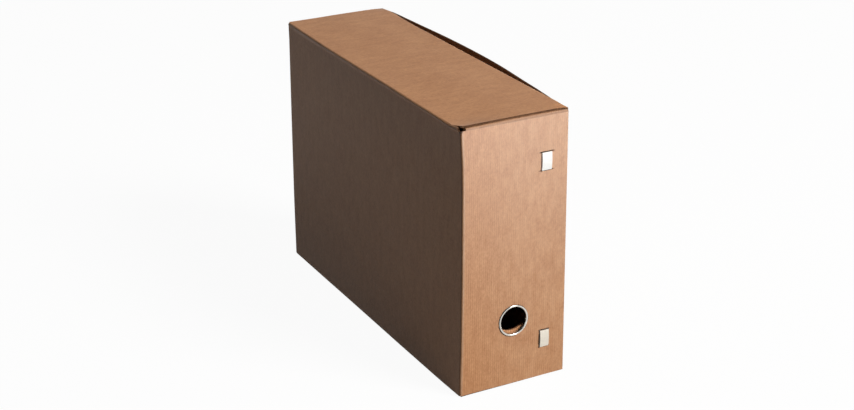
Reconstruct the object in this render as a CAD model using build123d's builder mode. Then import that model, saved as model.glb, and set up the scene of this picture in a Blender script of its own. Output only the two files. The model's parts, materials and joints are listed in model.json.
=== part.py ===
from build123d import *
import math
import os

# Archive box of folded kraft board, with a finger ring and two metal clips on its spine.
# X runs across the spine, Y from the spine to the back and Z up. The origin is the middle
# of the base, on the floor. All sizes are in millimetres.

# Outside of the box and its board
box_width = 109.0
box_length = 360.0
box_height = 260.0
board = 1.5

# Outside radii of the scored folds, and the turn of a square one in degrees
square_turn = 90.0
side_radius = 1.8
corner_radius = 2.4
rim_radius = 3.0
tuck_radius = 2.4

# Air between boards that lie together unglued, and in glued or butted seams
ply_gap = 0.3
seam_gap = 0.1

# Bulge of the right wall at its free top edge, and how steeply it leaves the back corner
wall_bow = 8.2
bow_back_slope = 0.06

# How much the spine's cut edge leans in from its foot to its head
spine_draw_in = 2.0

# Lid, its tuck flap, and the dust flaps under it
lid_play = 0.5
lid_end_inset = 0.9
tuck_depth = 22.0
tuck_lean = 10.0
tuck_end_gap = 8.0
tuck_taper = 6.0
tuck_corner_radius = 10.0
dust_flap_depth = 55.0
dust_end_gap = 6.0
dust_turn_share = 0.36
dust_corner_radius = 8.0

# Glued base
base_end_inset = 1.2
base_flap_depth = 90.0
base_flap_taper = 12.0
base_corner_radius = 8.0
glue_flap_height = 30.0
glue_flap_end_gap = 14.0
glue_flap_taper = 12.0

# Joint flap of the right wall, which the clips hold behind the spine, short of the washer
joint_washer_gap = 2.3
joint_flap_taper = 6.0

# Stiffening panel inside the spine, with a clearance hole for the ring
lining_gap = 0.6
lining_side_play = 0.5
lining_hole_radius = 20.0
lining_hole_rise = 9.0

# Finger ring: a tube with a half-round bead in front, rolled over its washer behind the spine
ring_height = 65.0
ring_bore = 26.5
ring_tube_wall = 0.4
ring_bead_width = 2.1
ring_bead_height = 1.1
ring_clinch_width = 1.7
ring_clinch_height = 0.7
ring_hole_play = 0.15
washer_width = 3.4
washer_metal = 0.4

# Clips: flat straps with two legs through slits, turned in behind the joint flap
clip_width = 10.0
clip_length = 17.6
clip_metal = 0.5
clip_arch = 0.6
clip_bend_radius = 0.6
clip_turn_in = 6.0
clip_edge_inset = 21.4
lower_clip_height = 39.4
upper_clip_drop = 46.7
slit_overrun = 3.3
slit_play = 0.25

# Edges and levels that the panels share
half_width = box_width / 2
half_length = box_length / 2
crease_y = half_length - rim_radius
spine_back_y = -half_length + board
joint_back_y = spine_back_y + board
wall_front_y = spine_back_y + corner_radius
wall_back_y = half_length - corner_radius
lid_edge_x = half_width - board - lid_play
lid_half_length = half_length - lid_end_inset
glue_face_x = half_width - board - seam_gap
flap_top_z = box_height - board - ply_gap
spine_low_z = board + rim_radius
spine_high_z = flap_top_z - rim_radius
spine_edge_x = half_width - seam_gap

os.makedirs("parts", exist_ok=True)


def finish(piece, name):
    """Labels a finished piece and writes it under its name."""
    piece.part.label = name
    export_step(piece.part, "parts/" + name + ".step")


def add_fold(centre, radius, start, sweep=square_turn):
    """Adds a scored fold to the open sketch: board bent about a centre, through an angle."""
    with BuildLine() as bend:
        outer = CenterArc(centre, radius, start, sweep)
        inner = CenterArc(centre, radius - board, start, sweep)
        Line(outer @ 0, inner @ 0)
        Line(outer @ 1, inner @ 1)
    make_face(bend.edges())


def add_rectangle(low, high):
    """Adds a rectangle to the open sketch by two opposite corners."""
    with Locations(low):
        Rectangle(high[0] - low[0], high[1] - low[1], align=(Align.MIN, Align.MIN))


def spine_edge_at(z):
    """X of the spine's leaning cut edge at a height."""
    return spine_edge_x - spine_draw_in * (z - spine_low_z) / (spine_high_z - spine_low_z)


def add_flap(root, taper, depth, corner):
    """Adds a flap's outline to the open sketch: its root is a range of X along Y 0."""
    low, high = root
    Polygon((low, 0), (high, 0), (high - taper, depth), (low + taper, depth), align=None)
    tip_corners = [vertex for vertex in vertices() if vertex.Y > depth / 2]
    fillet(tip_corners, radius=corner)


# Left side panel, between the fold of the lid and the fold of the base
with BuildPart() as left_side_panel:
    with BuildSketch(Plane.XY.offset(side_radius)):
        add_rectangle(
            (-half_width, -half_length + corner_radius),
            (-half_width + board, half_length - corner_radius),
        )
    extrude(amount=box_height - 2 * side_radius)
finish(left_side_panel, "left_side_panel")


# Spine panel, with its left corner fold, the hole of the ring and the slits of the clips
clip_levels = {"upper": box_height - upper_clip_drop, "lower": lower_clip_height}
clip_places = {name: (spine_edge_at(z) - clip_edge_inset, z) for name, z in clip_levels.items()}
leg_offset = (clip_length - clip_metal) / 2
slit_length = clip_width + 2 * slit_overrun
slit_height = clip_metal + 2 * slit_play
slit_places = [(x, z + side * leg_offset) for x, z in clip_places.values() for side in (-1, 1)]
ring_hole_radius = ring_bore / 2 + ring_tube_wall + ring_hole_play
washer_radius = ring_hole_radius + washer_width

with BuildPart() as spine_panel:
    with BuildSketch(Plane.XY.offset(spine_low_z)):
        corner_centre = (-half_width + corner_radius, -half_length + corner_radius)
        add_fold(corner_centre, corner_radius, 180)
        add_rectangle(
            (-half_width + corner_radius, -half_length),
            (spine_edge_x, spine_back_y),
        )
    extrude(amount=spine_high_z - spine_low_z)
    with BuildSketch(Plane.XZ.offset(half_length)):
        Polygon(
            (spine_edge_x, spine_low_z),
            (spine_edge_x, spine_high_z),
            (spine_edge_x - spine_draw_in, spine_high_z),
            align=None,
        )
        with Locations((0, ring_height)):
            Circle(ring_hole_radius)
        with Locations(*slit_places):
            Rectangle(slit_length, slit_height)
    extrude(amount=-board, mode=Mode.SUBTRACT)
finish(spine_panel, "spine_panel")


# Back panel, with a corner fold at each side
with BuildPart() as back_panel:
    with BuildSketch(Plane.XY.offset(spine_low_z)):
        add_fold((-half_width + corner_radius, wall_back_y), corner_radius, 90)
        add_fold((half_width - corner_radius, wall_back_y), corner_radius, 0)
        add_rectangle(
            (-half_width + corner_radius, half_length - board),
            (half_width - corner_radius, half_length),
        )
    extrude(amount=spine_high_z - spine_low_z)
finish(back_panel, "back_panel")


# Right side panel: straight at the base, and bulging more and more to its free top edge
wall_top_z = box_height - board
wall_middle_y = (wall_front_y + wall_back_y) / 2
bow_sections = 4

with BuildPart() as right_side_panel:
    for section in range(bow_sections):
        rise = section / (bow_sections - 1)
        swell = math.sin(rise * math.pi / 2)
        with BuildSketch(Plane.XY.offset(board + rise * (wall_top_z - board))):
            with BuildLine():
                faces_x = (half_width, half_width - board)
                outer, inner = [
                    Spline(
                        (x, wall_front_y),
                        (x + wall_bow * swell, wall_middle_y),
                        (x, wall_back_y),
                        tangents=[(0, 1), (-bow_back_slope * swell, 1)],
                    )
                    for x in faces_x
                ]
                Line(outer @ 0, inner @ 0)
                Line(outer @ 1, inner @ 1)
            make_face()
    loft()
finish(right_side_panel, "right_side_panel")


# Joint flap: the right wall's front end, folded in behind the spine
with BuildPart() as joint_flap:
    with BuildSketch(Plane.XY.offset(spine_low_z)):
        add_fold((half_width - corner_radius, wall_front_y), corner_radius, 270)
        add_rectangle(
            (washer_radius + joint_washer_gap, spine_back_y),
            (half_width - corner_radius, joint_back_y),
        )
    extrude(amount=spine_high_z - spine_low_z)
    free_corners = edges().filter_by(Axis.Y).group_by(Axis.X)[0]
    chamfer(free_corners, length=joint_flap_taper)
    with BuildSketch(Plane.XZ.offset(-spine_back_y)):
        with Locations(*slit_places):
            Rectangle(slit_length, slit_height)
    extrude(amount=-board, mode=Mode.SUBTRACT)
finish(joint_flap, "joint_flap")


# Base panel, folded in from the left wall, and its glue flap, turned up inside the right wall
with BuildPart() as base_panel:
    with BuildSketch(Plane.XZ):
        add_fold((-half_width + side_radius, side_radius), side_radius, 180)
    extrude(amount=crease_y, both=True)
    with BuildSketch(Plane.XZ):
        add_rectangle((-half_width + side_radius, 0), (glue_face_x - tuck_radius, board))
    extrude(amount=half_length - base_end_inset, both=True)
finish(base_panel, "base_panel")

glue_plane = Plane(origin=(glue_face_x, 0, tuck_radius), x_dir=(0, 1, 0), z_dir=(1, 0, 0))
glue_half_root = half_length - glue_flap_end_gap

with BuildPart() as base_glue_flap:
    with BuildSketch(Plane.XZ):
        add_fold((glue_face_x - tuck_radius, tuck_radius), tuck_radius, 270)
    extrude(amount=crease_y, both=True)
    with BuildSketch(glue_plane):
        glue_root = (-glue_half_root, glue_half_root)
        add_flap(glue_root, glue_flap_taper, glue_flap_height, base_corner_radius)
    extrude(amount=-board)
finish(base_glue_flap, "base_glue_flap")


# Front and back: the base flaps, the folds along the head of the panel and the dust flaps
fold_left_x = -half_width + corner_radius
base_root = (fold_left_x + seam_gap, glue_face_x - tuck_radius - seam_gap)
dust_root = (-half_width + dust_end_gap, half_width - dust_end_gap)
dust_taper = dust_turn_share * dust_flap_depth
fold_right_x = {"front": spine_edge_x, "back": half_width - corner_radius}
head_draw_in = {"front": spine_draw_in, "back": 0}
end_side = {"front": -1, "back": 1}
base_fold_start = {"front": 2 * square_turn, "back": 3 * square_turn}
dust_fold_start = {"front": square_turn, "back": 0}

for name, side in end_side.items():
    fold_y = side * crease_y
    fold_length = fold_right_x[name] - fold_left_x
    inward = Plane(origin=(0, fold_y, 0), x_dir=(1, 0, 0), z_dir=(0, 0, -side))

    with BuildPart() as base_flap:
        with BuildSketch(Plane.YZ.offset(fold_left_x)):
            add_fold((fold_y, spine_low_z), rim_radius, base_fold_start[name])
        extrude(amount=fold_length)
        with BuildSketch(inward.offset(-side * board)):
            add_flap(base_root, base_flap_taper, base_flap_depth, base_corner_radius)
        extrude(amount=-side * board)
    finish(base_flap, "base_" + name + "_flap")

    with BuildPart() as dust_fold:
        with BuildSketch(Plane.YZ.offset(fold_left_x)):
            add_fold((fold_y, spine_high_z), rim_radius, dust_fold_start[name])
        extrude(amount=fold_length - head_draw_in[name])
    finish(dust_fold, name + "_dust_fold")

    with BuildPart() as dust_flap:
        with BuildSketch(inward.offset(-side * flap_top_z)):
            add_flap(dust_root, dust_taper, dust_flap_depth, dust_corner_radius)
        extrude(amount=side * board)
    finish(dust_flap, name + "_dust_flap")


# Lid, with the fold that hinges it to the left wall and the fold of its tuck flap
lean = math.radians(tuck_lean)
tuck_centre_x = lid_edge_x - tuck_radius
tuck_centre_z = box_height - tuck_radius

with BuildPart() as lid_fold:
    with BuildSketch(Plane.XZ):
        add_fold((-half_width + side_radius, box_height - side_radius), side_radius, 90)
    extrude(amount=crease_y, both=True)
finish(lid_fold, "lid_fold")

with BuildPart() as lid_panel:
    with BuildSketch(Plane.XY.offset(box_height)):
        add_rectangle(
            (-half_width + side_radius, -lid_half_length),
            (lid_edge_x, lid_half_length),
        )
        with Locations((tuck_centre_x, 0)):
            Rectangle(
                tuck_radius,
                2 * crease_y,
                align=(Align.MIN, Align.CENTER),
                mode=Mode.SUBTRACT,
            )
    extrude(amount=-board)
finish(lid_panel, "lid_panel")

with BuildPart() as tuck_fold:
    with BuildSketch(Plane.XZ):
        add_fold(
            (tuck_centre_x, tuck_centre_z),
            tuck_radius,
            -tuck_lean,
            square_turn + tuck_lean,
        )
    extrude(amount=crease_y, both=True)
finish(tuck_fold, "tuck_fold")

tuck_plane = Plane(
    origin=(
        tuck_centre_x + tuck_radius * math.cos(lean),
        0,
        tuck_centre_z - tuck_radius * math.sin(lean),
    ),
    x_dir=(0, -1, 0),
    z_dir=(math.cos(lean), 0, -math.sin(lean)),
)
tuck_half_root = half_length - tuck_end_gap

with BuildPart() as tuck_flap:
    with BuildSketch(tuck_plane):
        tuck_root = (-tuck_half_root, tuck_half_root)
        add_flap(tuck_root, tuck_taper, tuck_depth, tuck_corner_radius)
    extrude(amount=-board)
finish(tuck_flap, "tuck_flap")


# Spine lining: a loose stiffening panel that stands on the front base flap
lining_half_width = half_width - board - lining_side_play
lining_top_z = flap_top_z - board - ply_gap

with BuildPart() as spine_lining:
    with BuildSketch(Plane.XZ.offset(-joint_back_y - lining_gap)):
        add_rectangle((-lining_half_width, 2 * board), (lining_half_width, lining_top_z))
        with Locations((0, ring_height + lining_hole_rise)):
            Circle(lining_hole_radius, mode=Mode.SUBTRACT)
    extrude(amount=-board)
finish(spine_lining, "spine_lining")


# Finger ring, turned about its own axis through the spine: radius first, then depth
bore_radius = ring_bore / 2
tube_radius = bore_radius + ring_tube_wall
bead_radius = bore_radius + ring_bead_width
clinch_radius = bore_radius + ring_clinch_width
clinch_seat = board + washer_metal
ring_centre = (0, -half_length, ring_height)
ring_plane = Plane(origin=ring_centre, x_dir=(0, 0, 1), z_dir=(-1, 0, 0))

with BuildPart() as finger_ring:
    with BuildSketch(ring_plane):
        with BuildLine():
            ThreePointArc(
                (bore_radius, 0),
                ((bore_radius + bead_radius) / 2, -ring_bead_height),
                (bead_radius, 0),
            )
            Polyline(
                (bead_radius, 0),
                (tube_radius, 0),
                (tube_radius, clinch_seat),
                (clinch_radius, clinch_seat),
                (clinch_radius - ring_clinch_height, clinch_seat + ring_clinch_height),
                (tube_radius, clinch_seat + ring_clinch_height),
                (bore_radius, clinch_seat),
                (bore_radius, 0),
            )
        make_face()
    revolve(axis=Axis(ring_centre, (0, 1, 0)))
finish(finger_ring, "finger_ring")

with BuildPart() as ring_washer:
    with BuildSketch(Plane.XZ.offset(-spine_back_y)):
        with Locations((0, ring_height)):
            Circle(washer_radius)
            Circle(ring_hole_radius, mode=Mode.SUBTRACT)
    extrude(amount=-washer_metal)
finish(ring_washer, "ring_washer")


# Clips, drawn from the side along the middle of the metal: depth first, then height
front_line = -half_length - clip_metal / 2
back_line = joint_back_y + clip_metal / 2

for name, (clip_x, level) in clip_places.items():
    with BuildPart() as clip:
        with BuildSketch(Plane.YZ.offset(clip_x)):
            with BuildLine():
                Polyline(
                    (back_line, level + leg_offset - clip_turn_in),
                    (back_line, level + leg_offset),
                    (front_line, level + leg_offset),
                )
                ThreePointArc(
                    (front_line, level + leg_offset),
                    (front_line - clip_arch, level),
                    (front_line, level - leg_offset),
                )
                Polyline(
                    (front_line, level - leg_offset),
                    (back_line, level - leg_offset),
                    (back_line, level - leg_offset + clip_turn_in),
                )
                bends = [vertex for vertex in vertices() if abs(vertex.Y - level) > leg_offset - 0.1]
                fillet(bends, radius=clip_bend_radius)
                offset(amount=clip_metal / 2, side=Side.BOTH)
            make_face()
        extrude(amount=clip_width / 2, both=True)
    finish(clip, name + "_clip")
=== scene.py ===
import json
import math

import bmesh
import bpy
from mathutils import Matrix, Vector, noise
from mathutils.geometry import delaunay_2d_cdt

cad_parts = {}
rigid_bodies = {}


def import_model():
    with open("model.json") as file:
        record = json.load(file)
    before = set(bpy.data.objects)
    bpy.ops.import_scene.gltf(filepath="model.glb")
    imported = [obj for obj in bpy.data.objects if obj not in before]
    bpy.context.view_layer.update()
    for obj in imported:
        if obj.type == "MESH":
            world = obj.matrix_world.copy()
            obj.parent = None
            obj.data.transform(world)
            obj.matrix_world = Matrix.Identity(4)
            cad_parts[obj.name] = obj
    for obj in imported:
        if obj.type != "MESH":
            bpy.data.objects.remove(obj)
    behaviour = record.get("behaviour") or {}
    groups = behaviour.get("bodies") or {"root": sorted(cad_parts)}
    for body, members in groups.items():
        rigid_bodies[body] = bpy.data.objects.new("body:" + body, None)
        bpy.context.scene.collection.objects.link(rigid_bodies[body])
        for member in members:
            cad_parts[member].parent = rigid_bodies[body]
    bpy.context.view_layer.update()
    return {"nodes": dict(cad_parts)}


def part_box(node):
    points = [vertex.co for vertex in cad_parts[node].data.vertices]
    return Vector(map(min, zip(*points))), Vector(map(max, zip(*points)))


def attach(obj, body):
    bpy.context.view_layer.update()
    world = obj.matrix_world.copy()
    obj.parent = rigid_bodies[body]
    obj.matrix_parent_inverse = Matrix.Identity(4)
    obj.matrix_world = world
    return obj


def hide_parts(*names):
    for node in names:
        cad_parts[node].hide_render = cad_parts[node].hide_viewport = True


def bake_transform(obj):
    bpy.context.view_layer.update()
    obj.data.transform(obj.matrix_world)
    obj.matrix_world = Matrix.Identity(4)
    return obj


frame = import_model()

# Lengths are in metres. Those that the CAD model sets come from the frame.
MM = 0.001
X, Y, Z = Vector((1, 0, 0)), Vector((0, 1, 0)), Vector((0, 0, 1))
quarter = math.pi / 2

left_low, left_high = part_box("left_side_panel")
spine_low, spine_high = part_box("spine_panel")
right_low, right_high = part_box("right_side_panel")
joint_low, joint_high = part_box("joint_flap")
lining_low, lining_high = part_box("spine_lining")
lid_low, lid_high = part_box("lid_panel")
lid_fold_low, lid_fold_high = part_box("lid_fold")
tuck_fold_low, tuck_fold_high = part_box("tuck_fold")
dust_fold_low, dust_fold_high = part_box("front_dust_fold")
glue_low, glue_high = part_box("base_glue_flap")
ring_low, ring_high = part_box("finger_ring")
upper_low, upper_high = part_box("upper_clip")
lower_low, lower_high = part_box("lower_clip")

half_width = -left_low.x
half_length = -spine_low.y
box_height = lid_high.z
spine_top = spine_high.z
board = left_high.x - left_low.x

# Outer radii of the folds, and the board that they take up
side_radius = lid_fold_high.z - lid_fold_low.z
rim_radius = dust_fold_high.z - dust_fold_low.z
corner_radius = spine_high.y - spine_low.y
tuck_radius = tuck_fold_high.x - tuck_fold_low.x
foot_radius = 1.4 * MM
corner_arc = corner_radius * quarter
rim_arc = rim_radius * quarter
tuck_lean = math.radians(10)
crease_y = lid_fold_high.y

# The flat runs between the folds
corner_x = half_width - corner_radius
back_width = 2 * corner_x
wall_run = left_high.y - left_low.y
right_run = right_high.y - right_low.y
base_width = glue_low.x - lid_fold_high.x

# Where the lines of flutes stand at the start of each board, as on the one sheet it was cut from
spine_start = corner_arc
back_start = -wall_run - corner_arc
right_start = back_start - corner_arc - back_width
joint_start = right_start - corner_arc - right_run
level_start = left_low.y

# The board's make: two liners with a fluted sheet between them
liner = 0.26 * MM
flute_pitch = 2.2 * MM
flute_sheet = 0.15 * MM
flute_steps = 8
flute_band = 6.0 * MM
flute_line = 0.05 * MM
side_recess = 0.9 * MM
ribbon_recess = 0.1 * MM
shortest_ribbon = 0.3 * MM
outer_skin, inner_skin, cut_edge, flutes = range(4)

# The grid of its mesh, what counts as the same place, and the slant of an edge along the flutes
grid_step = 14.0 * MM
fold_steps = 7
weld = 0.001 * MM
flat_margin = 0.01 * MM
line_margin = 0.02 * MM
near_margin = 0.05 * MM
most_slant = 0.12
sharp_angle = math.radians(35)


def mm(*values):
    return [value * MM for value in values]


# The right wall bulges along its free top edge: a plain curve through its middle, then how far it
# goes beyond that and how far its top has sunk, along the box
bow_middle = 8.2 * MM
bow_back_slope = -0.06
bulge_places = mm(-127, -97, -81, -64, -48, -32, -16, 0, 30)
bulge_more = mm(0.0, 0.35, 0.7, 1.0, 1.15, 0.95, 0.75, 0.45, 0.2)
sink_places = mm(-169, -155, -141, -127, 120, 145, 165)
sink_down = mm(1.8, 1.4, 0.8, 0.0, 0.0, 0.6, 0.9)
sink_zone = (right_high.z - 40 * MM, right_high.z)

# The board waves slowly, by shares of each coordinate, but not at the front. The noise is seeded,
# or it would give other waves each run.
noise.seed_set(1)
wave_density = 8.0
wave_most = (0.0045, 0.0012, 0.0010)
wave_zone = (-half_length, -half_length + 70 * MM)

# Along the left wall's foot, up the spine's left corner and up the back, the walls stray outwards
# or inwards. Across the spine, its foot rises.
foot_places = mm(-180, -157, -111, -62, -11, 43, 71, 129, 160)
foot_out = mm(0.8, 1.1, 0.9, 0.78, 0.48, 0.17, 0.0, -0.26, -0.5)
foot_zone = (80 * MM, 0)
corner_levels = mm(0, 20, 44, 68, 91, 114, 205, 216, 227, 238, 249, 256, 259)
corner_in = mm(0.5, 0.5, 0.8, 0.6, 0.85, 1.1, 1.1, 0.9, 0.6, -0.2, -0.7, -0.7, 0.0)
back_levels = mm(32, 64, 111, 175, 238, 260)
back_out = mm(3.4, 3.0, 2.5, 1.8, 0.8, 0.1)
back_zone = (half_length - 120 * MM, half_length)
rise_places = mm(-54, -45, 0, 54)
rise_up = mm(0.0, 0.3, 0.4, 0.9)
rise_zone = (60 * MM, 0)
left_zone = (-half_width + 40 * MM, -half_width)
front_zone = (-half_length + 60 * MM, -half_length)

# The lid's fold has rolled outwards and sunk, along the box
roll_places = mm(-178, -163, -150, -120, -97, -75, -30, 22, 60, 93, 131, 150, 177)
roll_out = mm(3.1, 3.2, 3.2, 3.2, 3.2, 3.1, 3.0, 2.8, 2.6, 2.4, 1.8, 1.5, 1.0)
roll_down = mm(1.2, 3.3, 2.7, 2.5, 2.5, 2.2, 1.9, 1.9, 1.7, 1.7, 1.4, 1.2, 0.8)
roll_zone = (box_height - 8 * MM, box_height - 0.5 * MM)
roll_ends = (-half_length, -crease_y)
roll_down_zone = (-half_width + 60 * MM, -half_width)

# The lid flares out at the right of its back end, sags at that end, and its ears droop
flare_places = mm(105, 126, 147, 168, 180)
flare_out = mm(0.0, 0.6, 2.0, 2.8, 1.4)
flare_zone = (half_width - 24.5 * MM, half_width - 2.5 * MM)
head_zone = (box_height - 10 * MM, box_height - 2 * MM)
sag_down = 0.5 * MM
sag_zone_x = (-half_width + 0.5 * MM, -half_width + 40.5 * MM)
sag_zone_y = (half_length - 20 * MM, half_length - 6 * MM)
ear_down = 1.3 * MM
ear_zone_x = (half_width - 4.6 * MM, half_width - 2 * MM)
ear_zone_y = (half_length - 3.8 * MM, half_length - 3.2 * MM)
ear_zone_z = (box_height - 2.6 * MM, box_height - 1.8 * MM)


def ramp(value, start, end):
    """Rises smoothly from 0 at the start to 1 at the end, which may be the lower of the two."""
    share = min(1.0, max(0.0, (value - start) / (end - start)))
    return share * share * (3 - 2 * share)


def stripe(value, middle, width):
    """A soft line: 1 at its middle, fading to nothing on both sides."""
    return math.exp(-((value - middle) / width) ** 2)


def between(value, places, amounts):
    """The amount at a place, in straight runs between the listed places."""
    if value <= places[0]:
        return amounts[0]
    for start, end, first, last in zip(places, places[1:], amounts, amounts[1:]):
        if value < end:
            return first + (last - first) * (value - start) / (end - start)
    return amounts[-1]


def near(value, level):
    return abs(value - level) < near_margin


# Materials

def srgb(red, green, blue):
    """A colour written in display values from 0 to 255, as the linear values that shaders take."""
    def linear(value):
        share = value / 255
        return share / 12.92 if share <= 0.04045 else ((share + 0.055) / 1.055) ** 2.4
    return (linear(red), linear(green), linear(blue), 1.0)


class Nodes:
    """A short way to write the nodes of a material or of the world."""

    def __init__(self, owner):
        self.owner = owner
        owner.use_nodes = True
        self.tree = owner.node_tree

    def add(self, kind, settings=None, **inputs):
        """Adds a node. Each input is named by its socket, or by an i and its number."""
        node = self.tree.nodes.new(kind)
        for key, value in (settings or {}).items():
            setattr(node, key, value)
        for key, value in inputs.items():
            self.put(node, key, value)
        return node

    def put(self, node, socket, value):
        """Links an input to another node's output, or gives it a plain value."""
        numbered = socket[0] == "i" and socket[1:].isdigit()
        target = node.inputs[int(socket[1:]) if numbered else socket.replace("_", " ")]
        if isinstance(value, bpy.types.NodeSocket):
            self.tree.links.new(value, target)
        else:
            target.default_value = value

    def shade(self, **inputs):
        """Sets the material's own shader."""
        for key, value in inputs.items():
            self.put(self.tree.nodes["Principled BSDF"], key, value)

    def math(self, operation, first, second=0.0, third=0.0):
        settings = {"operation": operation}
        return self.add("ShaderNodeMath", settings, i0=first, i1=second, i2=third).outputs[0]

    def vector_math(self, operation, first, second):
        settings = {"operation": operation}
        return self.add("ShaderNodeVectorMath", settings, i0=first, i1=second).outputs

    def scaled(self, vector, factors):
        return self.vector_math("MULTIPLY", vector, factors)[0]

    def parts(self, vector):
        return self.add("ShaderNodeSeparateXYZ", Vector=vector).outputs

    def attribute(self, name):
        return self.add("ShaderNodeAttribute", {"attribute_name": name}).outputs["Vector"]

    def place(self):
        """The place on the object itself."""
        return self.add("ShaderNodeTexCoord").outputs["Object"]

    def noise(self, vector, scale, detail=2.0, roughness=0.5):
        node = self.add(
            "ShaderNodeTexNoise", Vector=vector, Scale=scale, Detail=detail, Roughness=roughness
        )
        return node.outputs["Fac"]

    def layered(self, base, *layers):
        """Adds to a value the swing of each layer about its middle, times the layer's weight."""
        for layer, weight in layers:
            swing = self.math("SUBTRACT", layer, 0.5)
            base = self.math("MULTIPLY_ADD", swing, weight, base)
        return base

    def spread(self, value, low, high, to_low=0.0, to_high=1.0, curve="LINEAR"):
        """Maps a range of values onto another, and keeps to its ends beyond it."""
        settings = {"interpolation_type": curve}
        node = self.add(
            "ShaderNodeMapRange", settings, Value=value, i1=low, i2=high, i3=to_low, i4=to_high
        )
        return node.outputs[0]

    def mix(self, factor, first, second):
        """Mixes two colours."""
        settings = {"data_type": "RGBA"}
        return self.add("ShaderNodeMix", settings, i0=factor, i6=first, i7=second).outputs[2]

    def choose(self, factor, first, second):
        """Mixes two shaders."""
        return self.add("ShaderNodeMixShader", i0=factor, i1=first, i2=second).outputs[0]

    def bump(self, height, strength):
        node = self.add("ShaderNodeBump", Strength=strength, Distance=1.0, Height=height)
        return node.outputs["Normal"]


fleck_brown = (0.20, 0.10, 0.05, 1)
# Paler: for worn places, and for painted highlights and painted light
pale_wear_and_highlight = (0.72, 0.52, 0.37, 1)
# Painted shade on the board
painted_shade_brown = (0.10, 0.05, 0.025, 1)
# Painted shadow on cut edges that lie within painted shade
painted_edge_shadow = (0.05, 0.025, 0.012, 1)
# Grime and painted dark reflection and shade around the ring's outer rim
ring_grime_and_shade = (0.05, 0.04, 0.035, 1)
# Painted shade along the clips' borders
clip_painted_shade = (0.10, 0.075, 0.06, 1)
clip_shade_blur = 0.15 * MM


def kraft_material(name, light, dark, roughness):
    """Kraft liner: grain, long fibres, flecks, blotches, flute lines, worn folds and painted
    shading.

    The attribute "sheet" holds the place across and along the flutes, and the wear and painted
    shading: above 0 the board is paler, for wear and for painted highlights and painted light, and
    below 0 it is darkened with painted shade.
    """
    made = Nodes(bpy.data.materials.new(name))
    sheet = made.attribute("sheet")
    across, _, wear_and_shading = made.parts(sheet)
    place = made.scaled(sheet, (1, 1, 0))

    blotch = made.noise(place, 22.0, 3.0, 0.55)
    cloud = made.noise(made.scaled(place, (1.0, 0.35, 1)), 160.0, 3.0, 0.6)
    mottle = made.noise(made.scaled(place, (1.0, 0.6, 1)), 520.0, 2.0, 0.6)
    fleck = made.noise(made.scaled(place, (0.35, 1.0, 1)), 900.0, 1.0, 0.5)
    grain = made.noise(place, 1500.0, 2.0, 0.7)
    fibre = made.noise(made.scaled(place, (1.0, 0.14, 1)), 2300.0, 2.0, 0.6)

    turn = made.math("MULTIPLY", across, 2 * math.pi / flute_pitch)
    drift = made.math("MULTIPLY", made.noise(place, 60.0, 1.0), 2.2)
    ridge = made.math("MULTIPLY", made.math("SINE", made.math("ADD", turn, drift)), 0.5)

    layers = ((blotch, 0.60), (cloud, 1.0), (mottle, 1.0), (grain, 0.8), (fibre, 0.9))
    tone = made.math("MULTIPLY_ADD", ridge, 0.13, made.layered(0.5, *layers))
    colour = made.mix(tone, dark, light)
    specks = made.math("MULTIPLY", made.spread(fleck, 0.70, 0.78), 0.35)
    colour = made.mix(specks, colour, fleck_brown)
    patches = made.spread(cloud, 0.30, 0.62, 0.35, 1.0)
    # Paler where worn and where highlights and light are painted; darker with painted shade below 0
    wear_and_highlight_share = made.math("MULTIPLY", made.spread(wear_and_shading, 0.0, 1.0), patches)
    colour = made.mix(made.math("MULTIPLY", wear_and_highlight_share, 0.5), colour, pale_wear_and_highlight)
    colour = made.mix(made.spread(wear_and_shading, 0.0, -1.0), colour, painted_shade_brown)

    height = made.math("MULTIPLY", ridge, flute_line)
    height = made.math("MULTIPLY_ADD", fibre, 0.05 * MM, height)
    height = made.math("MULTIPLY_ADD", grain, 0.04 * MM, height)
    rough = made.math("MULTIPLY_ADD", grain, 0.14, roughness)
    made.shade(
        Base_Color=colour, Roughness=rough, Specular_IOR_Level=0.35, Normal=made.bump(height, 1.0)
    )
    return made.owner


def cut_material(name, light, dark):
    """The board's cut edges and the fluted sheet inside it: rough, darker and fibrous, with painted
    shadow where the board's painted shade is deep.
    """
    made = Nodes(bpy.data.materials.new(name))
    place = made.place()
    fibre = made.noise(place, 2600.0, 3.0, 0.7)
    tone = made.layered(made.noise(place, 240.0, 2.0, 0.5), (fibre, 1.2))
    wear_and_shading = made.parts(made.attribute("sheet"))[2]
    # Painted shadow on edges where the painted shade is deep
    colour = made.mix(made.spread(wear_and_shading, -0.5, -1.0), made.mix(tone, dark, light), painted_edge_shadow)
    normal = made.bump(made.math("MULTIPLY", fibre, 0.12 * MM), 0.8)
    made.shade(Base_Color=colour, Roughness=0.9, Specular_IOR_Level=0.2, Normal=normal)
    return made.owner


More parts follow.
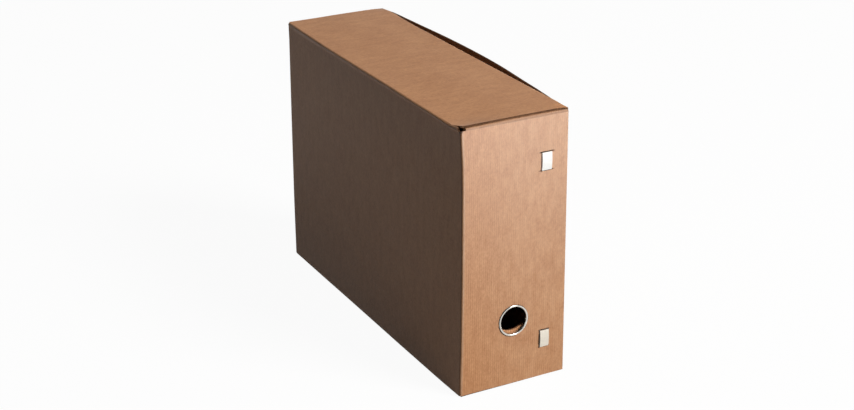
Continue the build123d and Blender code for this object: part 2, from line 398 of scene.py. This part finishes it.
def metal_material(name, tint, roughness, streaks, streak_axes, dents, rim=None, border=None):
    """Plated sheet steel: rolled streaks, dull patches, dents, grime and painted shade at its rim,
    and painted shade at its border.
    """
    made = Nodes(bpy.data.materials.new(name))
    place = made.place()
    streak = made.noise(made.scaled(place, streak_axes), streaks, 3.0, 0.65)
    patch = made.noise(place, 420.0, 3.0, 0.6)
    darker = tuple(0.78 * value for value in tint[:3]) + (1.0,)
    colour = made.mix(made.layered(patch, (streak, 0.5)), darker, tint)
    if rim:
        middle, start, end = rim
        offset = made.scaled(made.vector_math("SUBTRACT", place, middle)[0], (1, 0, 1))
        radius = made.vector_math("LENGTH", offset, (0, 0, 0))["Value"]
        colour = made.mix(made.spread(radius, start, end), colour, ring_grime_and_shade)
    if border:
        middle, *halves = border
        x, _, z = made.parts(made.vector_math("SUBTRACT", place, middle)[0])
        past_side, past_end = (
            made.spread(made.math("ABSOLUTE", value), half - clip_shade_blur, half + clip_shade_blur)
            for value, half in zip((x, z), halves)
        )
        colour = made.mix(made.math("MAXIMUM", past_side, past_end), colour, clip_painted_shade)
    rough = made.math("MULTIPLY_ADD", streak, 0.08, made.layered(roughness, (patch, 0.25)))
    height = made.math("MULTIPLY_ADD", patch, dents, made.math("MULTIPLY", streak, 0.02 * MM))
    made.shade(Base_Color=colour, Metallic=1.0, Roughness=rough, Normal=made.bump(height, 0.7))
    return made.owner


outer_kraft = kraft_material("kraft_outer", srgb(203, 150, 107), srgb(168, 114, 75), 0.43)
inner_kraft = kraft_material("kraft_inner", srgb(194, 148, 110), srgb(156, 110, 76), 0.62)
cut_kraft = cut_material("kraft_cut", srgb(150, 108, 76), srgb(92, 62, 42))
flute_kraft = cut_material("kraft_flute", srgb(132, 94, 66), srgb(84, 56, 38))

ring_radius = (ring_high.x - ring_low.x) / 2
# The ring's outer rim is darkened with grime and painted shade
ring_rim = ((ring_low + ring_high) / 2, ring_radius - 0.75 * MM, ring_radius - 0.1 * MM)
ring_steel = metal_material(
    "ring_steel", srgb(238, 234, 226), roughness=0.22, streaks=700.0, streak_axes=(1, 1, 1),
    dents=0.03 * MM, rim=ring_rim,
)

clip_half_x = (upper_high.x - upper_low.x) / 2
clip_half_z = (upper_high.z - upper_low.z) / 2
clip_look = {
    "roughness": 0.48, "streaks": 1600.0, "streak_axes": (1, 1, 0.06), "dents": 0.12 * MM,
}
# Painted shade along the clips' ends, mostly at the top, and down the lower clip's left side
upper_middle = (upper_low + upper_high) / 2 - Vector((0, 0, 0.25 * MM))
# The two clips are of one steel: the upper one's brighter tint is painted light, the lower one's
# duller tint painted shade
upper_steel = metal_material(
    "clip_steel_painted_light", srgb(253, 253, 250), **clip_look,
    border=(upper_middle, clip_half_x + MM, clip_half_z - 0.4 * MM),
)
lower_middle = (lower_low + lower_high) / 2 + Vector((0.4 * MM, 0, -0.2 * MM))
lower_steel = metal_material(
    "clip_steel_painted_shade", srgb(236, 229, 216), **clip_look,
    border=(lower_middle, clip_half_x - 0.4 * MM, clip_half_z - 0.45 * MM),
)


# Where the boards lie

class Sheet:
    """Where a board lies: a flat outer face, which may turn into a fold at its ends.

    On it, u runs across the flutes and v along them. Outlines are loops of such pairs.
    """

    def __init__(self, origin, across, along, outward, u_start=0.0):
        self.origin = Vector(origin)
        self.across = Vector(across)
        self.along = Vector(along)
        self.outward = Vector(outward)
        self.u_start = u_start
        self.folds = []
        self.u_lines = []
        self.v_lines = []

    def fold(self, axis, at, sign, radius):
        """Past a line on the sheet, the board turns inwards about a centre at a radius."""
        self.folds.append((axis, at, sign, radius))
        return self

    def flat(self, point):
        """A point of the frame in the sheet's own flat axes."""
        offset = Vector(point) - self.origin
        return offset.dot(self.across), offset.dot(self.along)

    def place(self, u, v, depth):
        """The point of the frame at a place on the sheet, at a depth under its outer face."""
        point = self.origin + self.across * u + self.along * v - self.outward * depth
        for axis, at, sign, radius in self.folds:
            direction, value = (self.across, u) if axis == "u" else (self.along, v)
            past = sign * (value - at)
            if past > 0:
                angle, reach = past / radius, radius - depth
                point += direction * (at - value) - self.outward * reach
                point += direction * sign * reach * math.sin(angle)
                point += self.outward * reach * math.cos(angle)
        return point

    def levels(self, axis, low, high):
        """Grid lines over a range, closer together where the board folds."""
        count = max(1, round((high - low) / grid_step))
        lines = {low + (high - low) * index / count for index in range(1, count)}
        for fold_axis, at, sign, radius in self.folds:
            if fold_axis == axis:
                arc = radius * quarter
                lines = {line for line in lines if not 0 <= sign * (line - at) <= arc}
                lines |= {at + sign * arc * index / fold_steps for index in range(fold_steps + 1)}
        return sorted(line for line in lines if low + line_margin < line < high - line_margin)


class BowedSheet(Sheet):
    """The right wall's place: it bulges outwards, more and more towards its free top edge."""

    def place(self, u, v, depth):
        point = self.origin + self.across * u + self.along * v
        rise = (point.z - right_low.z) / (right_high.z - right_low.z)
        swell = math.sin(min(1.0, max(0.0, rise)) * quarter)
        span = right_run / 2
        share = (point.y - right_low.y) / span
        back_slope = bow_back_slope * span
        middle_slope = -back_slope / 4
        if share < 1:
            t = max(0.0, share)
            lift = bow_middle * t * t * (3 - 2 * t) + middle_slope * (t ** 3 - t ** 2)
        else:
            t = min(1.0, share - 1)
            lift = bow_middle * (1 - t * t * (3 - 2 * t))
            lift += middle_slope * (t ** 3 - 2 * t ** 2 + t) + back_slope * (t ** 3 - t ** 2)
        lift += between(point.y, bulge_places, bulge_more)
        sunk = between(point.y, sink_places, sink_down) * ramp(point.z, *sink_zone)
        return Vector((half_width + swell * lift - depth, point.y, point.z - sunk))


def settle(point):
    """Moves a point of a board from its true place to where handling has left it."""
    x, y, z = point
    waves = noise.noise_vector(point * wave_density)
    waviness = ramp(y, *wave_zone)
    for axis, most in enumerate(wave_most):
        point[axis] *= 1 - most * waviness * (0.5 + 0.7 * waves[axis])
    at_left = ramp(x, *left_zone)
    at_front = ramp(y, *front_zone)
    point.x -= between(y, foot_places, foot_out) * at_left * ramp(z, *foot_zone)
    point.x += between(z, corner_levels, corner_in) * at_left * at_front
    point.y += between(z, back_levels, back_out) * ramp(y, *back_zone)
    point.z += between(x, rise_places, rise_up) * at_front * ramp(z, *rise_zone)
    rolled = ramp(z, *roll_zone) * ramp(y, *roll_ends)
    point.x -= between(y, roll_places, roll_out) * rolled * at_left
    point.z -= between(y, roll_places, roll_down) * rolled * ramp(x, *roll_down_zone)
    at_head = ramp(z, *head_zone)
    point.x += between(y, flare_places, flare_out) * ramp(x, *flare_zone) * at_head
    point.z -= sag_down * ramp(x, *sag_zone_x) * ramp(y, *sag_zone_y) * at_head
    at_ear = ramp(x, *ear_zone_x) * ramp(abs(y), *ear_zone_y)
    point.z -= ear_down * at_ear * ramp(z, *ear_zone_z)
    return point


# Outlines

def edge_counts(faces):
    """How many of the faces have each edge."""
    counts = {}
    for face in faces:
        for start, end in zip(face, face[1:] + face[:1]):
            edge = frozenset((start, end))
            counts[edge] = counts.get(edge, 0) + 1
    return counts


def face_loops(node, sheet):
    """The outlines of a CAD node's flat outer face."""
    mesh = frame["nodes"][node].data
    mesh.calc_loop_triangles()
    reach = max((vertex.co - sheet.origin).dot(sheet.outward) for vertex in mesh.vertices)
    faces = []
    points = {}
    for triangle in mesh.loop_triangles:
        corners = [mesh.vertices[index].co for index in triangle.vertices]
        heights = [(corner - sheet.origin).dot(sheet.outward) for corner in corners]
        if min(heights) >= reach - flat_margin:
            keys = [tuple(round(value / weld) for value in corner) for corner in corners]
            points.update((key, sheet.flat(corner)) for key, corner in zip(keys, corners))
            faces.append(keys)
    links = {}
    for edge, count in edge_counts(faces).items():
        if count == 1:
            start, end = edge
            links.setdefault(start, []).append(end)
            links.setdefault(end, []).append(start)
    loops = []
    while links:
        loop = []
        current = next(iter(links))
        while links.get(current):
            loop.append(points[current])
            following = links[current].pop()
            links[following].remove(current)
            current = following
        loops.append(loop)
        links = {key: others for key, others in links.items() if others}
    return loops


def rectangle(u_low, u_high, v_low, v_high):
    return [[(u_low, v_low), (u_high, v_low), (u_high, v_high), (u_low, v_high)]]


def inside(loops, u, v):
    crossings = 0
    for loop in loops:
        for (u1, v1), (u2, v2) in zip(loop, loop[1:] + loop[:1]):
            if (v1 > v) != (v2 > v) and u < (u2 - u1) * (v - v1) / (v2 - v1) + u1:
                crossings += 1
    return crossings % 2 == 1


def grown(loops, axis, level, reach, low=None, high=None):
    """Adds a fold's own strip to an outline, beyond the line where the board starts to turn."""
    made = []
    other = 1 - axis
    for loop in loops:
        at_line = [near(point[axis], level) for point in loop]
        if not any(at_line):
            made.append(loop)
            continue
        for index in range(len(loop)):
            if at_line[index] and at_line[index - 1]:
                loop = loop[index:] + loop[:index]
                break
        start, end = loop[-1][other], loop[0][other]
        if low is not None:
            start, end = (low, high) if start < end else (high, low)
        far = level + reach
        strip = [(level, start), (far, start), (far, end), (level, end)]
        loop = loop + (strip if axis == 0 else [point[::-1] for point in strip])
        made.append([p for k, p in enumerate(loop) if math.dist(p, loop[k - 1]) > flat_margin])
    return made


def moved(loops, level, new_level):
    """Moves the part of an outline that lies on a line across the sheet."""
    return [[(u, new_level if near(v, level) else v) for u, v in loop] for loop in loops]


def worn_slits(loops):
    """The clips' slits gape a little over the strap and close towards their ends."""
    tallest_slit, slit_overrun, more_gape = 3 * MM, 3.1 * MM, 0.2 * MM
    made = []
    for loop in loops:
        us, vs = zip(*loop)
        height = max(vs) - min(vs)
        if height > tallest_slit:
            made.append(loop)
            continue
        middle, level = (min(us) + max(us)) / 2, (min(vs) + max(vs)) / 2
        end, gape = (max(us) - min(us)) / 2, height / 2 + more_gape
        strap = end - slit_overrun
        torn = level > box_height / 2
        tip, close = (0.12 * MM, 2.8 * MM) if torn else (0.02 * MM, 0.7 * MM)
        half = [(-end, -tip), (-strap - close, -tip), (-strap, -gape)]
        half += [(-u, v) for u, v in half[::-1]]
        made.append([(middle + sign * u, level + sign * v) for sign in (1, -1) for u, v in half])
    return made


def corner_cut_off(loops, corner, size):
    """Cuts a square corner off an outline."""
    made = []
    for loop in loops:
        made.append([])
        for (u, v), before in zip(loop, loop[-1:] + loop[:-1]):
            if near(u, corner[0]) and near(v, corner[1]):
                cut = [(u, v - size), (u + size, v)]
                made[-1] += cut if near(before[0], u) else cut[::-1]
            else:
                made[-1].append((u, v))
    return made


# Meshes

def flat_mesh(loops, sheet):
    """Cuts the area within the loops into a grid: flat points and faces."""
    us = [u for loop in loops for u, v in loop]
    vs = [v for loop in loops for u, v in loop]
    points = []
    edges = []
    for loop in loops:
        start = len(points)
        points += [Vector(point) for point in loop]
        edges += [(start + i, start + (i + 1) % len(loop)) for i in range(len(loop))]
    lines = [
        ((u, min(vs)), (u, max(vs))) for u in sheet.levels("u", min(us), max(us)) + sheet.u_lines
    ]
    lines += [
        ((min(us), v), (max(us), v)) for v in sheet.levels("v", min(vs), max(vs)) + sheet.v_lines
    ]
    for line in lines:
        edges.append((len(points), len(points) + 1))
        points += [Vector(end) for end in line]
    result = delaunay_2d_cdt(points, edges, [], 4, weld)
    made, faces = result[0], result[2]
    kept = []
    for face in faces:
        middle = sum((made[index] for index in face), Vector((0, 0))) / len(face)
        if inside(loops, middle.x, middle.y):
            kept.append(face)
    used = sorted({index for face in kept for index in face})
    order = {index: position for position, index in enumerate(used)}
    return [made[index] for index in used], [[order[index] for index in face] for face in kept]


def add_vertex(mesh, sheet, u, v, depth, wear_and_shading=0.0):
    """Adds a vertex of a board, with the attribute that its materials read."""
    vertex = mesh.verts.new(settle(sheet.place(u, v, depth)))
    vertex[mesh.verts.layers.float_vector["sheet"]] = (sheet.u_start + u, v, wear_and_shading)
    return vertex


def add_slab(mesh, sheet, flat, faces, depths, outer, inner, wear_and_shading):
    """Adds a closed slab of board between two depths."""
    top, bottom = (
        [add_vertex(mesh, sheet, point.x, point.y, depth, wear_and_shading(point.x, point.y)) for point in flat]
        for depth in depths
    )
    counts = edge_counts(faces)
    for face in faces:
        mesh.faces.new([top[index] for index in face]).material_index = outer
        mesh.faces.new([bottom[index] for index in reversed(face)]).material_index = inner
        for start, end in zip(face, face[1:] + face[:1]):
            if counts[frozenset((start, end))] == 1:
                side = (top[end], top[start], bottom[start], bottom[end])
                mesh.faces.new(side).material_index = cut_edge


def add_tube(mesh, rows):
    """Joins rows of four corners into a piece of the fluted sheet with closed ends."""
    for before, after in zip(rows, rows[1:]):
        for a in range(4):
            b = (a + 1) % 4
            mesh.faces.new((before[a], before[b], after[b], after[a])).material_index = flutes
    mesh.faces.new(rows[0][::-1]).material_index = flutes
    mesh.faces.new(rows[-1]).material_index = flutes


def add_ribbon(mesh, sheet, columns):
    """Adds a strip of the fluted sheet along a cut edge that crosses the flutes."""
    swing = (board - 2 * liner - flute_sheet) / 2
    rows = []
    for u, start, end in columns:
        depth = board / 2 + swing * math.sin(2 * math.pi * (sheet.u_start + u) / flute_pitch)
        outer, inner = depth - flute_sheet / 2, depth + flute_sheet / 2
        corners = ((start, outer), (start, inner), (end, inner), (end, outer))
        rows.append([add_vertex(mesh, sheet, u, v, depth) for v, depth in corners])
    add_tube(mesh, rows)


def add_side_wall(mesh, sheet, start, end):
    """Adds the flank of the last flute, seen between the liners of an edge along the flutes."""
    (u1, v1), (u2, v2) = sorted((start, end), key=lambda point: point[1])
    corners = ((0, liner), (0, board - liner), (flute_sheet, board - liner), (flute_sheet, liner))
    rows = []
    for v in [v1] + sheet.levels("v", v1, v2) + [v2]:
        u = u1 + (u2 - u1) * (v - v1) / (v2 - v1)
        rows.append([add_vertex(mesh, sheet, u + shift, v, depth) for shift, depth in corners])
    add_tube(mesh, rows)


def add_flutes(mesh, sheet, loops, joined):
    """Adds the fluted sheet behind every cut edge that shows."""
    column = flute_pitch / flute_steps
    v_low = min(v for loop in loops for u, v in loop)
    v_high = max(v for loop in loops for u, v in loop)
    for loop in loops:
        for (u1, v1), (u2, v2) in zip(loop, loop[1:] + loop[:1]):
            middle = ((u1 + u2) / 2, (v1 + v2) / 2)
            if joined(*middle):
                continue
            if abs(u2 - u1) < most_slant * abs(v2 - v1):
                inward = 1 if inside(loops, middle[0] + near_margin, middle[1]) else -1
                shift = inward * side_recess
                add_side_wall(mesh, sheet, (u1 + shift, v1), (u2 + shift, v2))
                continue
            if u1 > u2:
                u1, v1, u2, v2 = u2, v2, u1, v1
            inward = 1 if inside(loops, middle[0], middle[1] + near_margin) else -1
            first = math.floor((sheet.u_start + u1) / column) + 1
            last = math.ceil((sheet.u_start + u2) / column) - 1
            stops = [index * column - sheet.u_start for index in range(first, last + 1)]
            columns = []
            for u in [u1] + stops + [u2]:
                v = v1 + (v2 - v1) * (u - u1) / (u2 - u1)
                end = min(max(v + inward * flute_band, v_low), v_high)
                if abs(end - v) > shortest_ribbon:
                    columns.append((u, v + inward * ribbon_recess, end))
            if len(columns) > 1:
                add_ribbon(mesh, sheet, columns)


def make_board(
    node, sheet, loops, joined=lambda u, v: False, wear_and_shading=lambda u, v: 0.0, inner_wear_and_shading=None
):
    """Builds one board as two liners and its fluted sheet, in place of a CAD node.

    No fluted sheet is added where joined says that an edge runs on into another board.
    """
    mesh = bmesh.new()
    mesh.verts.layers.float_vector.new("sheet")
    flat, faces = flat_mesh(loops, sheet)
    add_slab(mesh, sheet, flat, faces, (0.0, liner), outer_skin, cut_edge, wear_and_shading)
    inner_depths = (board - liner, board)
    add_slab(mesh, sheet, flat, faces, inner_depths, cut_edge, inner_skin, inner_wear_and_shading or wear_and_shading)
    add_flutes(mesh, sheet, loops, joined)
    bmesh.ops.recalc_face_normals(mesh, faces=mesh.faces)
    data = bpy.data.meshes.new(node + "_board")
    mesh.to_mesh(data)
    mesh.free()
    for material in (outer_kraft, inner_kraft, cut_kraft, flute_kraft):
        data.materials.append(material)
    for polygon in data.polygons:
        polygon.use_smooth = True
    data.set_sharp_from_angle(angle=sharp_angle)
    piece = bpy.data.objects.new(node + "_board", data)
    bpy.context.scene.collection.objects.link(piece)
    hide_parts(node)
    return piece


# Left wall, with a painted highlight along a line under the lid, fading towards the back, painted
# shade above it, and painted shade over its upper part, growing towards the top and fading out
# towards the back
sheet = Sheet((-half_width, left_low.y, 0), -Y, Z, -X)
wall_top = left_high.z
sheet.v_lines = [wall_top - drop for drop in mm(0.5, 1, 1.5, 2, 2.6, 3.2, 3.8, 4.4, 5, 5.6, 6.2, 7)]


def left_painted_shading(u, v):
    wear_and_shading = math.exp(u / (70 * MM)) * stripe(v, wall_top - 3.2 * MM, 0.6 * MM)
    wear_and_shading -= 0.3 * ramp(v, wall_top - 2.8 * MM, wall_top - 0.8 * MM)
    return wear_and_shading - 0.2 * ramp(v, wall_top - 80 * MM, wall_top) * ramp(u, -330 * MM, -240 * MM)


loops = face_loops("left_side_panel", sheet)
piece = make_board("left_side_panel", sheet, loops, lambda u, v: True, left_painted_shading)
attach(piece, "case")

# Spine, with the corner fold at its left
sheet = Sheet((-corner_x, -half_length, 0), X, Z, -Y, spine_start)
sheet.fold("u", 0, -1, corner_radius)
clip_left = upper_low.x + corner_x
sheet.u_lines = mm(-2.4, -1.4, -0.6, 0.4, 0.8, 1.4, 2.2)
# Grid lines beside the upper clip, for the painted shadow there
sheet.u_lines += [clip_left + step for step in mm(-1.4, -0.9, 0, 0.5)]
sheet.v_lines = [spine_top - drop for drop in mm(1.2, 2.4, 4)]
sheet.v_lines += [upper_low.z + step for step in mm(-0.5, 0.3)]
sheet.v_lines += [upper_high.z + step for step in mm(-0.8, 0)]


def spine_painted_shading(u, v):
    """Painted shading: a highlight along the corner crease, shade over the corner fold and its
    head, light towards the right, and a shadow beside a clip.
    """
    if upper_low.z < v < upper_high.z - 0.4 * MM and clip_left - MM < u < clip_left + 0.2 * MM:
        return -0.75
    wear_and_shading = stripe(u, -0.6 * MM, 0.7 * MM) - 0.5 * ramp(u, -1.5 * MM, -3 * MM)
    wear_and_shading -= 1.8 * ramp(v, spine_top - 2.88 * MM, spine_top - 0.48 * MM) * ramp(u, 0, -0.6 * MM)
    return wear_and_shading + 0.25 * ramp(u, 0, 1.2 * half_width)


# The corner's head and the right end of the foot are worn down a little
corner_worn, foot_worn = 0.3 * MM, 0.8 * MM
loops = moved(worn_slits(face_loops("spine_panel", sheet)), spine_low.z, foot_radius)
loops = grown(loops, 0, 0, -corner_arc)
for loop in loops:
    for index, (u, v) in enumerate(loop):
        if u < -MM and near(v, spine_top):
            loop[index] = (u, v - corner_worn)
        elif u > back_width and near(v, foot_radius):
            loop[index] = (u, v - foot_worn)
piece = make_board(
    "spine_panel", sheet, loops, lambda u, v: u < 0 or v < 2 * MM or near(v, spine_top), spine_painted_shading
)
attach(piece, "case")

# Back wall, with a corner fold at each side
sheet = Sheet((-corner_x, half_length, 0), -X, Z, Y, back_start)
sheet.fold("u", 0, 1, corner_radius).fold("u", -back_width, -1, corner_radius)
loops = moved(face_loops("back_panel", sheet), spine_low.z, foot_radius)
loops = grown(loops, 0, 0, corner_arc)
loops = grown(loops, 0, -back_width, -corner_arc)
piece = make_board(
    "back_panel", sheet, loops, lambda u, v: True, lambda u, v: stripe(u, corner_radius, 1.3 * MM)
)
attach(piece, "case")

# Right wall, its top edge paler outside, and painted shade inside down from its top
sheet = BowedSheet((half_width, right_high.y, 0), Y, Z, X, right_start)
sheet.v_lines = [right_high.z - drop for drop in mm(0.6, 1.2, 2, 3.2)]
piece = make_board(
    "right_side_panel", sheet, rectangle(-right_run, 0, right_low.z, right_high.z),
    lambda u, v: near(u, 0) or near(u, -right_run),
    lambda u, v: 0.3 * stripe(v, right_high.z, 1.0 * MM),
    lambda u, v: -0.6 * ramp(v, right_high.z - 14 * MM, right_high.z),
)
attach(piece, "case")

# Joint flap, behind the spine and a little lower
sheet = Sheet((corner_x, joint_low.y, 0), X, Z, -Y, joint_start).fold("u", 0, 1, corner_radius)
joint_drop = 1.6 * MM
loops = grown(face_loops("joint_flap", sheet), 0, 0, corner_arc)
loops = moved(loops, joint_high.z, joint_high.z - joint_drop)
piece = make_board("joint_flap", sheet, loops, lambda u, v: u > 0)
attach(piece, "case")

# Lid: its hinge fold, the lid itself, the fold of its closing edge and the tuck flap
fold_line = lid_fold_low.z
sheet = Sheet((-half_width, 0, 0), -Y, Z, -X, level_start).fold("v", fold_line, 1, side_radius)
# The hinge fold is darkened all over with painted shade
piece = make_board(
    "lid_fold", sheet, rectangle(-crease_y, crease_y, fold_line, fold_line + side_radius * quarter),
    lambda u, v: abs(u) < crease_y - MM, lambda u, v: -0.2,
)
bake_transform(piece)

sheet = Sheet((lid_low.x, 0, box_height), -Y, X, Z, level_start)
tuck_start = tuck_fold_low.x - lid_low.x
piece = make_board(
    "lid_panel", sheet, face_loops("lid_panel", sheet),
    lambda u, v: abs(u) < crease_y - MM and (v < MM or v > tuck_start - MM),
)
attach(piece, "lid")

tuck_arc = tuck_radius * (quarter + tuck_lean)
sheet = Sheet((tuck_fold_low.x, 0, box_height), -Y, X, Z, level_start)
sheet.fold("v", 0, 1, tuck_radius)
# A painted highlight along the lid's edge, and painted shade down the fold past it
piece = make_board(
    "tuck_fold", sheet, rectangle(-crease_y, crease_y, 0, tuck_arc),
    lambda u, v: abs(u) < crease_y - MM, lambda u, v: 0.2 - 0.7 * ramp(v, 0, 2 * MM),
)
lean = Vector((math.cos(tuck_lean), 0, -math.sin(tuck_lean)))
fall = Vector((-math.sin(tuck_lean), 0, -math.cos(tuck_lean)))
tuck_root = Vector((tuck_fold_low.x, 0, box_height - tuck_radius)) + lean * tuck_radius
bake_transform(piece)

sheet = Sheet(tuck_root, -Y, fall, lean, level_start)
piece = make_board("tuck_flap", sheet, face_loops("tuck_flap", sheet), lambda u, v: near(v, 0))
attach(piece, "tuck")


def flap_ends(wall, low_x, high_x):
    """The ends of a flap at the front (-1) or the back (1), on its own sheet."""
    return sorted((-wall * (low_x + corner_x), -wall * (high_x + corner_x)))


# Dust flaps and their folds, along the heads of the spine and of the back wall
flap_top = dust_fold_high.z
fold_high = spine_top + rim_arc
ends_of_box = (("front", -1, X, spine_start), ("back", 1, -X, back_start))
for side, wall, across, u_start in ends_of_box:
    crease = (-corner_x, wall * half_length, 0)
    sheet = Sheet(crease, across, Z, Y * wall, u_start).fold("v", spine_top, 1, rim_radius)
    if side == "front":
        left, right = flap_ends(wall, dust_fold_low.x, dust_fold_high.x)
        # Its ends are slanted, and its left end leaves the box's corner open
        loops = [[
            (left + 2 * MM, spine_top), (right, spine_top), (right, spine_top + 0.25 * rim_arc),
            (right - 3.5 * MM, fold_high), (left + 2.8 * MM, fold_high),
            (left + 3 * MM, spine_top + 0.45 * rim_arc),
        ]]
    else:
        loops = rectangle(*flap_ends(wall, -corner_x, corner_x), spine_top, fold_high)
    # The dust folds are darkened with painted shade
    piece = make_board(
        side + "_dust_fold", sheet, loops,
        lambda u, v: near(v, spine_top) or near(v, fold_high), lambda u, v: -0.42,
    )
    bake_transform(piece)
    flap_origin = (-corner_x, wall * (half_length - rim_radius), flap_top)
    sheet = Sheet(flap_origin, across, Y * -wall, Z, u_start)
    node = side + "_dust_flap"
    piece = make_board(node, sheet, face_loops(node, sheet), lambda u, v: near(v, 0))
    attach(piece, side + "_flap")

# Base: the panel with its fold, the flap glued to the right wall, and the end flaps
sheet = Sheet((side_radius - half_width, 0, 0), -Y, X, -Z, level_start)
sheet.fold("v", 0, -1, side_radius)
sheet.v_lines = mm(1.2, 2.4)
loops = grown(face_loops("base_panel", sheet), 1, 0, -side_radius * quarter, -crease_y, crease_y)
piece = make_board(
    "base_panel", sheet, loops, lambda u, v: v < 0 or near(v, base_width),
    lambda u, v: stripe(v, -side_radius, 1.5 * MM),
)
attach(piece, "case")

sheet = Sheet((glue_high.x, 0, tuck_radius), -Y, Z, X, level_start).fold("v", 0, -1, tuck_radius)
loops = face_loops("base_glue_flap", sheet)
loops = grown(loops, 1, 0, -tuck_radius * quarter, -crease_y, crease_y)
piece = make_board("base_glue_flap", sheet, loops, lambda u, v: v < -MM)
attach(piece, "case")

fold_line = foot_radius - rim_radius
for side, wall, across, u_start in ends_of_box:
    node = "base_" + side + "_flap"
    low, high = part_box(node)
    flap_origin = (-corner_x, wall * (half_length - rim_radius), low.z)
    sheet = Sheet(flap_origin, across, Y * -wall, -Z, u_start).fold("v", fold_line, -1, foot_radius)
    loops = moved(face_loops(node, sheet), 0, fold_line)
    ends = flap_ends(wall, low.x, high.x)
    loops = grown(loops, 1, fold_line, -foot_radius * quarter, *ends)
    piece = make_board(node, sheet, loops, lambda u, v: v < fold_line)
    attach(piece, "case")

# Stiffening panel inside the spine, its corner cut off behind the open corner of the box
sheet = Sheet((0, lining_low.y, 0), X, Z, -Y)
open_corner = (lining_low.x, lining_high.z)
loops = corner_cut_off(face_loops("spine_lining", sheet), open_corner, 6 * MM)
piece = make_board("spine_lining", sheet, loops)
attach(piece, "case")

# The metal pieces keep their CAD shapes
steels = {
    "finger_ring": ring_steel, "ring_washer": ring_steel,
    "upper_clip": upper_steel, "lower_clip": lower_steel,
}
for node, steel in steels.items():
    data = frame["nodes"][node].data
    data.materials.clear()
    data.materials.append(steel)

# Camera, fitted to the photograph
camera_data = bpy.data.cameras.new("camera")
camera = bpy.data.objects.new("camera", camera_data)
bpy.context.scene.collection.objects.link(camera)
camera_data.sensor_fit = "HORIZONTAL"
camera_data.sensor_width = 36.0
camera_data.lens = 70.68
camera_data.clip_start = 0.05
camera_data.clip_end = 60.0
camera_place = Vector((-0.7087, -1.3374, 0.7407))
view_right = Vector((0.88059, -0.47387, -0.00324))
view_ahead = Vector((0.43652, 0.81380, -0.38364))
view_turn = Matrix((view_right, view_right.cross(view_ahead), -view_ahead)).transposed().to_4x4()
camera.matrix_world = Matrix.Translation(camera_place) @ view_turn
bpy.context.scene.camera = camera

# World: white to the camera, dim to the board, and to gloss white at the sides and dim overhead
world = Nodes(bpy.data.worlds.new("world"))
bpy.context.scene.world = world.owner
world.tree.nodes.clear()
white = (1, 1, 1, 1)
rays = world.add("ShaderNodeLightPath").outputs
sky_up = world.parts(world.add("ShaderNodeTexCoord").outputs["Generated"])[2]
gloss = world.spread(sky_up, 0.10, 0.55, 1.0, 0.15, "SMOOTHSTEP")
light = world.add("ShaderNodeBackground", Color=(0.93, 0.95, 1.0, 1), Strength=0.02).outputs[0]
for ray, strength in (
    ("Is Glossy Ray", gloss), ("Is Transmission Ray", 1.0), ("Is Camera Ray", 1.0),
):
    seen = world.add("ShaderNodeBackground", Color=white, Strength=strength).outputs[0]
    light = world.choose(rays[ray], light, seen)
world.add("ShaderNodeOutputWorld", Surface=light)

# Floor: to the camera nearly as white as the world, with the object's shadow, and dim to the board
floor_size = 8.0
floor_tone, floor_bounce = (0.85, 0.85, 0.85, 1), (0.15, 0.15, 0.15, 1)
floor_glow, floor_mirrored = 0.95, 0.5
floor_mesh = bmesh.new()
bmesh.ops.create_grid(floor_mesh, x_segments=1, y_segments=1, size=floor_size)
floor_data = bpy.data.meshes.new("floor")
floor_mesh.to_mesh(floor_data)
floor_mesh.free()
floor = bpy.data.objects.new("floor", floor_data)
bpy.context.scene.collection.objects.link(floor)
made = Nodes(bpy.data.materials.new("floor"))
rays = made.add("ShaderNodeLightPath").outputs
tone = made.mix(rays["Is Diffuse Ray"], floor_tone, floor_bounce)
made.shade(Base_Color=tone, Roughness=0.9, Specular_IOR_Level=0.0)
plain = made.tree.nodes["Principled BSDF"].outputs[0]
glow = made.add("ShaderNodeEmission", Color=white, Strength=1.0).outputs[0]
mirrored = made.math("MAXIMUM", rays["Is Glossy Ray"], rays["Is Transmission Ray"])
mirrored = made.math("MULTIPLY", mirrored, floor_mirrored)
seen = made.math("MAXIMUM", rays["Is Camera Ray"], mirrored)
surface = made.choose(seen, plain, made.choose(floor_glow, plain, glow))
made.put(made.tree.nodes["Material Output"], "Surface", surface)
floor_data.materials.append(made.owner)


def area_light(name, place, target, size, power, colour):
    data = bpy.data.lights.new(name, "AREA")
    data.shape = "RECTANGLE"
    data.size, data.size_y = size
    data.energy = power
    data.color = colour
    lamp = bpy.data.objects.new(name, data)
    bpy.context.scene.collection.objects.link(lamp)
    lamp.location = place
    lamp.rotation_mode = "QUATERNION"
    lamp.rotation_quaternion = (Vector(target) - Vector(place)).to_track_quat("-Z", "Y")
    return lamp


# The key light shines on the spine and the lid. The glare reaches the boards' gloss alone.
area_light(
    "key", place=(2.0, -3.28, 3.13), target=(0, 0, 0.13), size=(1.9, 1.9), power=314.0,
    colour=(1.0, 0.99, 0.97),
)
glare = area_light(
    "glare", place=(0.62, -1.15, 0.01), target=(0.62, -1.15, 1.0), size=(1.5, 0.9), power=96.0,
    colour=(1.0, 1.0, 1.0),
)
boards = bpy.data.collections.new("boards")
for thing in bpy.context.scene.collection.objects:
    if thing.name.endswith("_board"):
        boards.objects.link(thing)
glare.light_linking.receiver_collection = boards
glare.visible_camera = False
glare.visible_diffuse = False

bpy.context.scene.view_settings.view_transform = "Standard"
